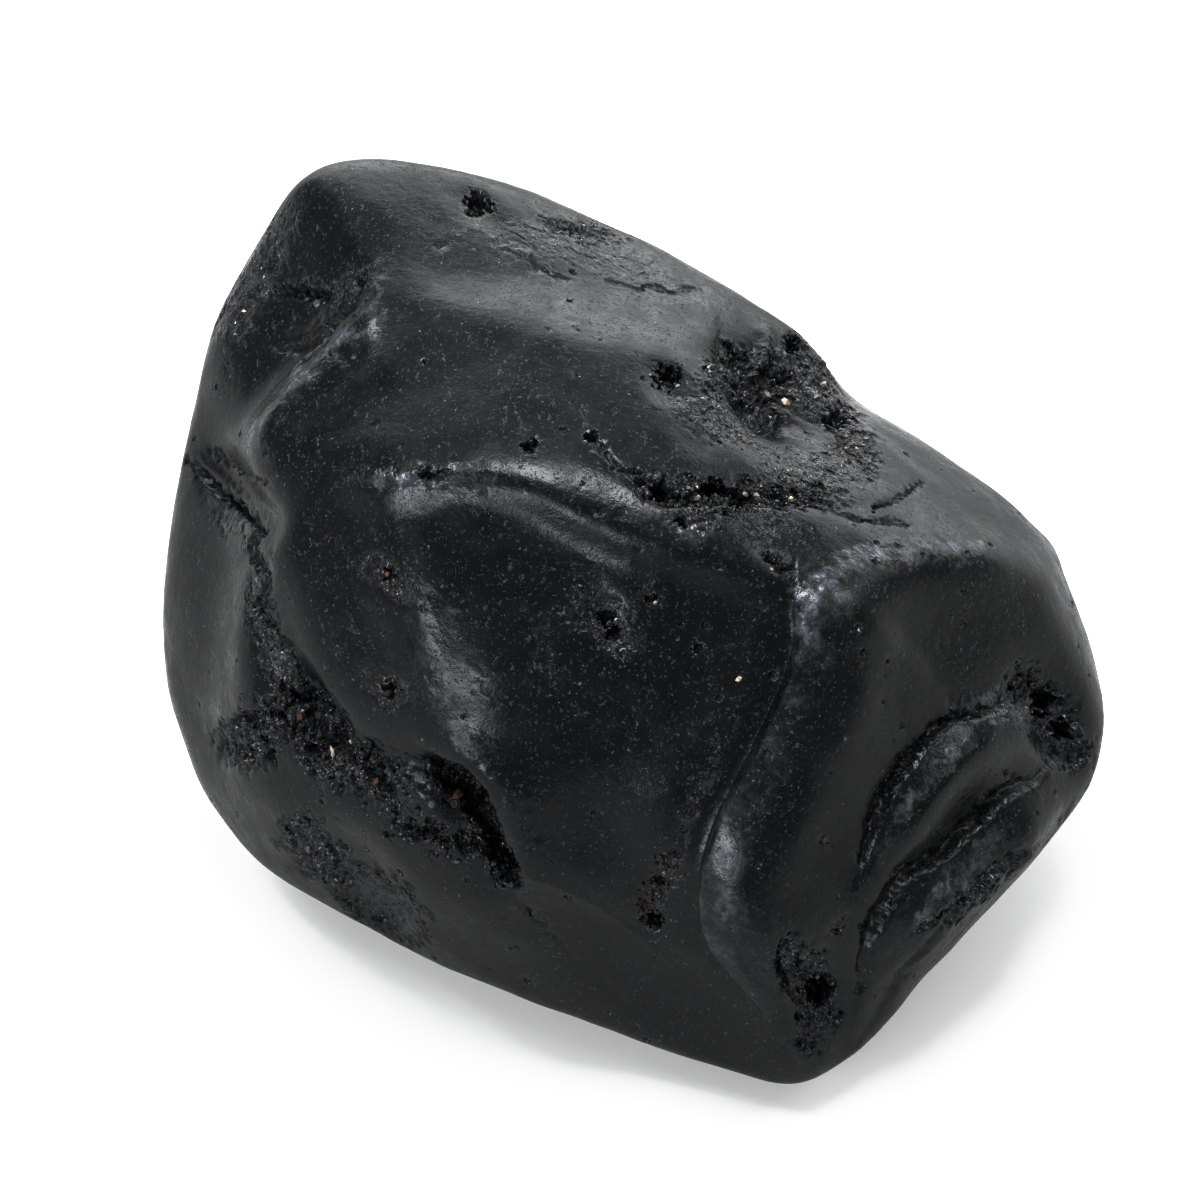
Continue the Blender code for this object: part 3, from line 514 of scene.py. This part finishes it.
def along_line(spots, line):
    """For spots on a sheet: distance to the line, its share there, the side (1 left in the photograph)."""
    curve = curve_through(line)
    least = np.full(len(spots), np.inf)
    share = np.zeros(len(spots))
    side = np.ones(len(spots))
    for a, b in zip(curve, curve[1:]):
        run, reach = b[:2] - a[:2], spots - a[:2]
        t = np.clip(reach @ run / (run @ run), 0.0, 1.0)
        away = reach - t[:, None] * run
        distance = np.hypot(away[:, 0], away[:, 1])
        nearer = distance < least
        least[nearer] = distance[nearer]
        share[nearer] = (a[2] + t * (b[2] - a[2]))[nearer]
        side[nearer] = -np.sign(run[0] * reach[:, 1] - run[1] * reach[:, 0])[nearer]
    return least, share, side


def near_line(spots, hold, line, margin):
    """Indexes of held spots in the line's box."""
    points = np.array(line)[:, :2]
    low, high = points.min(axis=0) - margin, points.max(axis=0) + margin
    return np.nonzero((hold > 0.01) & np.all((spots > low) & (spots < high), axis=1))[0]


def fade(distance, inner, outer):
    """1 inside inner, 0 beyond outer, smooth between."""
    t = np.clip((outer - distance) / (outer - inner), 0.0, 1.0)
    return t * t * (3 - 2 * t)


def grid_ball(cells):
    """A unit ball of evenly sized square cells: its corners and its faces' corner numbers."""
    bm = bmesh.new()
    bmesh.ops.create_cube(bm, size=2.0)
    bmesh.ops.subdivide_edges(bm, edges=bm.edges, cuts=cells - 1, use_grid_fill=True)
    bmesh.ops.recalc_face_normals(bm, faces=bm.faces)
    corners = np.array([v.co for v in bm.verts])
    quads = np.array([[v.index for v in face.verts] for face in bm.faces])
    bm.free()
    even = np.tan(corners * math.pi / 4)
    return even / np.linalg.norm(even, axis=1)[:, None], quads


def cast_on(tree, directions):
    """Where rays from the heart meet the surface."""
    return np.array([tree.ray_cast(HEART, Vector(d))[0] for d in directions])


def smoothed(places, quads, rounds, share=0.5):
    """Each corner moved towards the middle of its neighbours."""
    edges = np.vstack([quads[:, [i, (i + 1) % 4]] for i in range(4)])
    start, end = edges[:, 0], edges[:, 1]
    count = np.bincount(start, minlength=len(places))[:, None]
    for _ in range(rounds):
        total = np.stack([np.bincount(start, places[end, k], len(places)) for k in range(3)], axis=1)
        places = places + share * (total / count - places)
    return places


def corner_normals(places, quads):
    """The way each corner faces."""
    a, b, c, d = (places[quads[:, i]] for i in range(4))
    flat = np.cross(c - a, d - b)
    total = np.stack([np.bincount(quads.ravel(), np.repeat(flat[:, k], 4), len(places))
                      for k in range(3)], axis=1)
    return total / np.linalg.norm(total, axis=1)[:, None]


def subdivided(places, quads, levels):
    """Catmull-Clark subdivision, as arrays."""
    mesh = bpy.data.meshes.new("cage")
    mesh.from_pydata(places.tolist(), [], quads.tolist())
    cage = placed("cage", mesh)
    finer = cage.modifiers.new("finer", "SUBSURF")
    finer.levels = finer.render_levels = levels
    fine = cage.evaluated_get(bpy.context.evaluated_depsgraph_get()).to_mesh()
    corners = listed(fine.vertices, "co", np.float32, 3)
    faces = listed(fine.loops, "vertex_index", np.int32)
    cage.to_mesh_clear()
    bpy.data.objects.remove(cage)
    return corners.reshape(-1, 3).astype(float), faces.reshape(-1, 4)


class Relief:
    """What the surface's marks do at each corner: height in mm, and masks for the look."""

    def __init__(self, places, normals):
        self.places = places
        self.spots = places / MM
        self.normals = normals
        self.height = np.zeros(len(places))
        # How deep a corner lies in a pit, cut or broken hollow: the look darkens it there as painted shade
        # and makes it rougher.
        self.rough = np.zeros(len(places))
        self.deep = np.zeros(len(places))
        self.tint = np.zeros(len(places))
        self.front = pixels(places)
        self.front_hold = np.clip(normals @ FORWARD * 4, 0.0, 1.0)
        fine, push, seed = DRIFT_LUMPS
        block_fine, block_push, block_seed = DRIFT_BLOCKS
        drift = [lumps(self.spots * fine, seed + k) * push
                 + jagged(self.spots, block_fine, block_seed + 3 * k) * block_push for k in range(2)]
        self.drift = np.stack(drift, axis=1)
        crook_fine, crook_seed = CROOK_BLOCKS
        crook = [jagged(self.spots, crook_fine, crook_seed + 3 * k) for k in range(2)]
        self.crook = np.stack(crook, axis=1)

    def sheet(self, name):
        """Spots in mm and the hold on a sheet."""
        right, up, forward = turned(*SHEETS[name])
        about = (self.places - np.array(HEART)) / MM
        hold = np.clip(self.normals @ forward * 4, 0.0, 1.0)
        hold = hold * np.clip(-4 * (self.normals @ FORWARD), 0.0, 1.0)
        return np.stack([about @ right, about @ up], axis=1), hold

    def cut(self, spots, hold, width, depth, line, unit):
        """A ragged groove. Unit is how many of the line's steps make a millimetre."""
        here = near_line(spots, hold, line, (width * 4 + 0.3) * unit)
        wander = self.drift[here] + self.crook[here] * width * 0.7
        distance, share, _ = along_line(spots[here] + wander * unit, line)
        distance = distance / unit
        share = share * (0.65 + 0.35 * lumps(self.spots[here] * 2.2, 8))
        groove = fade(distance, width * 0.25, width * 1.25) * share * hold[here]
        self.height[here] -= depth * groove
        self.deep[here] = np.maximum(self.deep[here], fade(distance, width * 0.3, width * 1.3) * share)
        lip = fade(distance, width * 1.2, width * 3.0) * share * hold[here]
        self.rough[here] = np.maximum(self.rough[here], lip * 0.6)

    def broken(self, spots, hold, width, coarse, sunk, rough, tint, line, unit):
        """A band of broken ground, its chips standing coarse mm high."""
        here = near_line(spots, hold, line, width * 1.6 + 0.3 * unit)
        distance, share, _ = along_line(spots[here] + self.drift[here] * unit * 2.5, line)
        mask = fade(distance / width, 0.45, 1.15) * share * hold[here]
        near = self.spots[here]
        blocks = sum(chips(near * fine, seed) * part for fine, part, seed in CHIP_LAYERS)
        self.height[here] += mask * (coarse * blocks - sunk)
        self.rough[here] = np.maximum(self.rough[here], mask * rough)
        # Low chips are marked deep, which the look darkens as painted shade.
        hollow = np.clip(-blocks * 1.6 - 0.25, 0.0, 1.0) * np.clip((coarse - 0.05) / 0.12, 0.0, 1.0)
        self.deep[here] = np.maximum(self.deep[here], mask * hollow * 0.7)
        self.tint[here] += mask * tint * (0.6 + 0.4 * lumps(near * 2.0, 3))

    def step(self, height, rounding, reach, foot, line):
        """A small ledge on the front: the side on the left of the line stands above the other."""
        here = near_line(self.front, self.front_hold, line, reach * 2.2 * PIXELS_PER_MM)
        wander = self.drift[here] * 0.6 * PIXELS_PER_MM if reach < SMOOTH_REACH else 0.0
        distance, share, side = along_line(self.front[here] + wander, line)
        distance = distance / PIXELS_PER_MM
        climb = 1 - np.clip(1 - distance / rounding, 0.0, 1.0) ** 2
        raised = ((height + foot) * climb - foot) * np.exp(-((distance / reach) ** 2))
        lift = np.where(side > 0, raised, -foot * np.exp(-distance / STEP_FOOT))
        self.height[here] += lift * share * self.front_hold[here]

    def ridge(self, width, height, line):
        """A narrow crest on the front."""
        here = near_line(self.front, self.front_hold, line, width * 3 * PIXELS_PER_MM)
        distance, share, _ = along_line(self.front[here] + self.drift[here] * 0.6 * PIXELS_PER_MM, line)
        crest = np.exp(-((distance / PIXELS_PER_MM / width) ** 2)) * share
        self.height[here] += height * crest * self.front_hold[here]

    def pit(self, distance, here, radius, depth):
        """A worn pit with a crushed rim, at corners that lie distance mm from its middle."""
        bowl = fade(distance, radius * 0.45, radius * 1.05)
        self.height[here] -= depth * bowl
        self.deep[here] = np.maximum(self.deep[here], bowl)
        self.rough[here] = np.maximum(self.rough[here], fade(distance, radius, radius * 1.7) * 0.7)

    def draw_front(self):
        for height, rounding, reach, foot, line in STEPS.values():
            self.step(height, rounding, reach, foot, line)
        for width, height, line in RIDGES.values():
            self.ridge(width, height, line)
        for width, coarse, sunk, rough, tint, line in BROKEN.values():
            self.broken(self.front, self.front_hold, width, coarse, sunk, rough, tint, line, PIXELS_PER_MM)
        for width, depth, line in CUTS.values():
            self.cut(self.front, self.front_hold, width, depth, line, PIXELS_PER_MM)
        for x, y, radius, depth in PITS.values():
            spots = self.front + (self.drift * 0.5 + self.crook * radius * 0.9) * PIXELS_PER_MM
            away = np.hypot(spots[:, 0] - x, spots[:, 1] - y) / PIXELS_PER_MM
            here = np.nonzero((away < radius * 2) & (self.front_hold > 0.3))[0]
            self.pit(away[here], here, radius, depth)

    def draw_hidden(self):
        for name, width, coarse, sunk, rough, tint, line in HIDDEN_BROKEN.values():
            spots, hold = self.sheet(name)
            self.broken(spots, hold, width, coarse, sunk, rough, tint, line, 1.0)
        for name, width, depth, line in HIDDEN_CUTS.values():
            spots, hold = self.sheet(name)
            self.cut(spots, hold, width, depth, line, 1.0)

    def scatter_pits(self):
        chance = np.random.default_rng(PIT_SEED)
        drifted = self.spots + np.stack([lumps(self.spots * 8.0, 41 + k) for k in range(3)], axis=1) * 0.03
        for middle in chance.integers(0, len(self.places), PIT_COUNT):
            radius = PIT_RADII[0] + (PIT_RADII[1] - PIT_RADII[0]) * chance.random() ** 3
            here = np.nonzero(np.abs(drifted[:, 0] - self.spots[middle, 0]) < radius * 2)[0]
            away = np.linalg.norm(drifted[here] - self.spots[middle], axis=1)
            here, away = here[away < radius * 2], away[away < radius * 2]
            self.pit(away, here, radius, radius * (0.4 + 0.5 * chance.random()))

    def undulate(self):
        """The unevenness of the worn faces, from broad swells to the fine grain."""
        for size, height, seed in SWELLS:
            self.height += lumps(self.spots / size, seed) * height
        size, seed = FINE_GRAIN
        finer, finer_seed = FINER_GRAIN
        grain = lumps(self.spots / size, seed) + 0.5 * lumps(self.spots / finer, finer_seed)
        self.height += grain * (GRAIN_WORN + GRAIN_BROKEN * self.rough)


def stone_piece():
    """The fine stone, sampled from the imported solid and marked."""
    tree = mesh_tree(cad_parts["stone"].data)
    directions, quads = grid_ball(BALL_CELLS)
    places = smoothed(cast_on(tree, directions), quads, FACET_ROUNDS)
    places, quads = subdivided(places, quads, FINE_LEVELS)
    relief = Relief(places, corner_normals(places, quads))
    relief.draw_front()
    relief.draw_hidden()
    relief.scatter_pits()
    relief.undulate()
    places = boxed(places + relief.normals * (relief.height * MM)[:, None])
    mesh = bpy.data.meshes.new("fine")
    mesh.from_pydata(places.tolist(), [], quads.tolist())
    for name, values in (("rough", relief.rough), ("deep", relief.deep), ("tint", relief.tint)):
        mesh.attributes.new(name, "FLOAT", "POINT").data.foreach_set("value", values.astype(np.float32))
    fine = placed("fine", mesh)
    thin = fine.modifiers.new("thin", "DECIMATE")
    thin.ratio = MOST_TRIANGLES / (2 * len(quads))
    kept = bpy.data.meshes.new_from_object(fine.evaluated_get(bpy.context.evaluated_depsgraph_get()))
    bpy.data.objects.remove(fine)
    kept.name = "stone_surface"
    rough = listed(kept.attributes["rough"].data, "value", np.float32)
    corners = listed(kept.loops, "vertex_index", np.int32)
    starts = listed(kept.polygons, "loop_start", np.int32)
    kept.polygons.foreach_set("use_smooth", np.maximum.reduceat(rough[corners], starts) < CHIPPED)
    return placed("stone_surface", kept)


def grain_mesh(name, middles, radii, chance):
    """Angular crystals, one at each middle."""
    bm = bmesh.new()
    bmesh.ops.create_icosphere(bm, subdivisions=1, radius=1.0)
    ball = np.array([v.co for v in bm.verts])
    faces = np.array([[v.index for v in face.verts] for face in bm.faces])
    bm.free()
    corners, polygons = [], []
    for middle, radius in zip(middles, radii):
        spin = np.linalg.qr(chance.normal(size=(3, 3)))[0]
        stretch = chance.uniform(0.6, 1.25, 3)
        jitter = chance.uniform(0.75, 1.2, (len(ball), 1))
        polygons.append(faces + len(ball) * len(corners))
        corners.append(middle + (ball * jitter * stretch) @ spin * radius)
    mesh = bpy.data.meshes.new(name)
    mesh.from_pydata(boxed(np.vstack(corners)).tolist(), [], np.vstack(polygons).tolist())
    return mesh


def grains_pieces(stone):
    """The crystal grains, as a piece for each kind: those named on the front, then the scattered."""
    tree = mesh_tree(stone.data)
    rough = listed(stone.data.attributes["rough"].data, "value", np.float32)
    broken = np.nonzero(rough > GRAINY)[0]
    chance = np.random.default_rng(GRAIN_SEED)
    named = {"pale": PALE_GRAINS, "tan": TAN_GRAINS, "dark": []}
    pieces = {}
    for kind, (count, least, most) in SCATTERED.items():
        middles, radii = [], []
        for x, y, across in named[kind]:
            aim = (AIM + RIGHT * (x - FRAME_MIDDLE[0]) / PIXELS_PER_MM * MM
                   - UP * (y - FRAME_MIDDLE[1]) / PIXELS_PER_MM * MM)
            place, normal, _, _ = tree.ray_cast(Vector(EYE), Vector(aim - EYE))
            radius = across / 2 / PIXELS_PER_MM * MM
            middles.append(np.array(place - normal * radius * GRAIN_SUNK))
            radii.append(radius)
        for index in chance.choice(broken, count, replace=False):
            vertex = stone.data.vertices[index]
            radius = (least + (most - least) * chance.random() ** 2) * MM
            middles.append(np.array(vertex.co - vertex.normal * radius * GRAIN_SUNK))
            radii.append(radius)
        name = kind + "_grains"
        pieces[kind] = placed(name, grain_mesh(name, middles, radii, chance))
    return pieces


def put(tree, kind, inputs=None, **settings):
    """A node with its settings, and its inputs either linked or set."""
    made = tree.nodes.new(kind)
    for name, value in settings.items():
        setattr(made, name, value)
    for key, value in (inputs or {}).items():
        if isinstance(value, bpy.types.NodeSocket):
            tree.links.new(value, made.inputs[key])
        else:
            made.inputs[key].default_value = value
    return made


def maths(tree, operation, a, b, c=0.0):
    return put(tree, "ShaderNodeMath", {0: a, 1: b, 2: c}, operation=operation).outputs[0]


def times(tree, a, b):
    return maths(tree, "MULTIPLY", a, b)


def larger(tree, a, b):
    return maths(tree, "MAXIMUM", a, b)


def drawn_out(tree, where, turn, scale):
    """Places turned and scaled, so that a noise read there runs in streaks."""
    return put(tree, "ShaderNodeMapping", {"Vector": where, "Rotation": turn, "Scale": scale}).outputs[0]


def ramp(tree, value, start, end, low=0.0, high=1.0):
    """Value taken from start..end to low..high, smoothly."""
    inputs = {"Value": value, "From Min": start, "From Max": end, "To Min": low, "To Max": high}
    return put(tree, "ShaderNodeMapRange", inputs, interpolation_type="SMOOTHSTEP").outputs["Result"]


def blend(tree, share, first, second):
    """The first colour, taken towards the second by share."""
    inputs = {0: share, 6: first, 7: second}
    return put(tree, "ShaderNodeMix", inputs, data_type="RGBA").outputs[2]


def noise(tree, where, scale, detail, roughness):
    inputs = {"Vector": where, "Scale": scale, "Detail": detail, "Roughness": roughness}
    return put(tree, "ShaderNodeTexNoise", inputs).outputs[0]


def specks(tree, where, scale, share, size):
    """Small spots in share of the cells, size of a cell across: the spots and a random number."""
    cells = put(tree, "ShaderNodeTexVoronoi", {"Vector": where, "Scale": scale})
    chosen = put(tree, "ShaderNodeSeparateColor", {0: cells.outputs["Color"]})
    spot = ramp(tree, cells.outputs["Distance"], size, size * 0.4)
    there = maths(tree, "LESS_THAN", chosen.outputs[0], share)
    return maths(tree, "MULTIPLY", spot, there), chosen.outputs[1]


def flecks(tree, where, scale, start, end):
    """Small ragged flecks where a rough noise stands high."""
    return ramp(tree, noise(tree, where, scale, 2.0, 0.7), start, end)


def new_look(name):
    """A material, its node tree and its surface node."""
    material = bpy.data.materials.new(name)
    material.use_nodes = True
    return material, material.node_tree, material.node_tree.nodes["Principled BSDF"]


def ragged_places(tree, spot):
    """Places pushed about a little, so that what is drawn there has ragged edges."""
    ragged = put(tree, "ShaderNodeTexNoise", {"Vector": spot, "Scale": 9.0, "Detail": 2.0}).outputs["Color"]
    shift = put(tree, "ShaderNodeVectorMath", {0: ragged, 1: (-0.5, -0.5, -0.5)}, operation="ADD").outputs[0]
    shift = put(tree, "ShaderNodeVectorMath", {0: shift, "Scale": 0.2}, operation="SCALE").outputs[0]
    return put(tree, "ShaderNodeVectorMath", {0: spot, 1: shift}, operation="ADD").outputs[0]


def spinel_look():
    """Black and glossy where worn, grey and glinting where chipped, brown in some hollows, with painted shade
    in pits and cracks and painted highlights on some crests.
    """
    material, tree, surface = new_look("spinel_surface")
    here = put(tree, "ShaderNodeTexCoord").outputs["Object"]
    spot = put(tree, "ShaderNodeVectorMath", {0: here, "Scale": 1 / MM}, operation="SCALE").outputs[0]
    rough, deep, tint = (put(tree, "ShaderNodeAttribute", attribute_name=name).outputs["Fac"]
                         for name in ("rough", "deep", "tint"))
    cold = times(tree, tint, -1.0)

    # Noises, and small marks that are both light and dented
    torn = ragged_places(tree, spot)
    patches = noise(tree, spot, 0.45, 2.0, 0.6)
    dots, dot_tone = specks(tree, torn, 6.0, 0.16, 0.30)
    dots = times(tree, dots, maths(tree, "POWER", dot_tone, 2.0))
    streaks = larger(tree, flecks(tree, drawn_out(tree, torn, *SCRATCHES), 5.5, 0.64, 0.76),
                     flecks(tree, drawn_out(tree, torn, *SCRATCHES_ACROSS), 6.5, 0.67, 0.78))
    crumbs = flecks(tree, spot, 8.0, 0.62, 0.74)
    pocks, _ = specks(tree, torn, 4.6, 0.12, 0.26)
    tangle = noise(tree, spot, 13.0, 2.0, 0.65)
    tangle_broad = noise(tree, spot, 4.5, 3.0, 0.65)
    bright = larger(tree, dots, times(tree, larger(tree, streaks, crumbs), 0.45))
    bright = times(tree, bright, ramp(tree, patches, 0.32, 0.64, 0.35, 1.0))
    glints = times(tree, ramp(tree, tangle, 0.58, 0.70), ramp(tree, rough, 0.05, 0.9))

    # Colour, from the ground up
    chalky = blend(tree, ramp(tree, tangle_broad, 0.44, 0.62), *CHALKY)
    colour = blend(tree, times(tree, rough, 0.8), blend(tree, patches, *BLACK), chalky)
    blue = blend(tree, ramp(tree, tangle_broad, 0.46, 0.64), *BLUE)
    colour = blend(tree, ramp(tree, cold, 0.1, 0.9, 0.0, 0.6), colour, blue)
    # Frost: light grey chipped crystals, and on lit crests and worn bands a painted highlight.
    frost_and_highlight = times(tree, ramp(tree, cold, 0.3, 1.25), ramp(tree, tangle_broad, 0.36, 0.64, 0.30, 0.85))
    colour = blend(tree, frost_and_highlight, colour, FROST_AND_HIGHLIGHT)
    brown = blend(tree, ramp(tree, tangle_broad, 0.4, 0.7), *BROWN)
    colour = blend(tree, ramp(tree, tint, 0.1, 0.7, 0.0, 0.75), colour, brown)
    # Painted shade in pits, cuts and between broken chips, by how deep they lie.
    colour = blend(tree, times(tree, deep, 0.65), colour, HOLLOW_SHADE)
    colour = blend(tree, times(tree, bright, 0.8), colour, FLECK)
    colour = blend(tree, times(tree, glints, 0.5), colour, GLINT)
    tree.links.new(colour, surface.inputs["Base Color"])

    # Gloss
    polish = ramp(tree, noise(tree, spot, 1.1, 2.0, 0.6), 0.3, 0.7, *POLISH)
    polish = maths(tree, "ADD", polish, times(tree, rough, -0.05))
    polish = maths(tree, "ADD", polish, times(tree, deep, 0.15))
    tree.links.new(polish, surface.inputs["Roughness"])
    surface.inputs["IOR"].default_value = SPINEL_IOR
    surface.inputs["Specular Tint"].default_value = SPINEL_TINT

    # Bump
    dents = larger(tree, larger(tree, dots, streaks), larger(tree, crumbs, pocks))
    relief = times(tree, dents, -1.2)
    grainy = times(tree, tangle, maths(tree, "MULTIPLY_ADD", rough, 0.3, 0.35))
    relief = maths(tree, "ADD", relief, grainy)
    relief = maths(tree, "ADD", relief, times(tree, noise(tree, spot, 3.0, 3.0, 0.65), 1.6))
    bump = put(tree, "ShaderNodeBump", {"Height": relief, "Distance": BUMP_DEPTH, "Strength": 1.0})
    tree.links.new(bump.outputs[0], surface.inputs["Normal"])
    return material


def grain_look(name, dark, light, roughness):
    """A grain's colour, which differs from grain to grain between dark and light."""
    material, tree, surface = new_look(name)
    which = put(tree, "ShaderNodeNewGeometry").outputs["Random Per Island"]
    tree.links.new(blend(tree, which, dark, light), surface.inputs["Base Color"])
    surface.inputs["Roughness"].default_value = roughness
    surface.inputs["IOR"].default_value = GRAIN_IOR
    return material


def floor_look():
    """A dull floor that glows a little, and lights nothing by its glow directly."""
    material, _, surface = new_look("floor_white")
    surface.inputs["Base Color"].default_value = FLOOR_COLOUR
    surface.inputs["Roughness"].default_value = FLOOR_ROUGHNESS
    surface.inputs["Specular IOR Level"].default_value = 0.0
    surface.inputs["Emission Color"].default_value = WHITE
    surface.inputs["Emission Strength"].default_value = FLOOR_GLOW
    material.cycles.emission_sampling = "NONE"
    return material


def light_up():
    """Large soft lights, kept dim, so that the floor is no brighter than what the stone reflects."""
    world = bpy.data.worlds.new("studio")
    bpy.context.scene.world = world
    world.use_nodes = True
    background = world.node_tree.nodes["Background"]
    background.inputs[0].default_value = WHITE
    background.inputs[1].default_value = WORLD_LIGHT
    for name, (place, width, height, power) in SOFTBOXES.items():
        light = bpy.data.lights.new(name, "AREA")
        light.shape = "RECTANGLE"
        light.size = width
        light.size_y = height
        light.energy = power
        lamp = placed(name, light)
        lamp.location = place
        lamp.rotation_euler = (Vector(place) - HEART).to_track_quat("Z", "Y").to_euler()


def picture_tone():
    """The photograph's tones: blacks as they are, and the dim floor lifted to white."""
    view = bpy.context.scene.view_settings
    view.view_transform = "Standard"
    view.use_curve_mapping = True
    curve = view.curve_mapping.curves[3]
    curve.points[0].location = TONES[0]
    curve.points[-1].location = TONES[-1]
    for tone in TONES[1:-1]:
        curve.points.new(*tone)
    view.curve_mapping.update()


def floor_piece():
    mesh = bpy.data.meshes.new("floor")
    corners = [(x * FLOOR_REACH, y * FLOOR_REACH, 0) for x, y in ((-1, -1), (1, -1), (1, 1), (-1, 1))]
    mesh.from_pydata(corners, [], [(0, 1, 2, 3)])
    mesh.materials.append(floor_look())
    floor = placed("floor", mesh)
    floor.location.z = -FLOOR_DROP


def camera():
    seen = bpy.data.cameras.new("camera")
    seen.sensor_width = SENSOR
    seen.lens = LENS
    seen.clip_start, seen.clip_end = 0.01, 10.0
    holder = placed("camera", seen)
    holder.location = EYE
    holder.rotation_euler = Vector(FORWARD).to_track_quat("Z", "Y").to_euler()
    bpy.context.scene.camera = holder


camera()
light_up()
floor_piece()
stone = stone_piece()
stone.data.materials.append(spinel_look())
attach(stone, "root")
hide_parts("stone")
for kind, piece in grains_pieces(stone).items():
    piece.data.materials.append(grain_look(kind + "_crystal", *GRAIN_LOOKS[kind]))
    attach(piece, "root")

picture_tone()
bpy.context.view_layer.update()
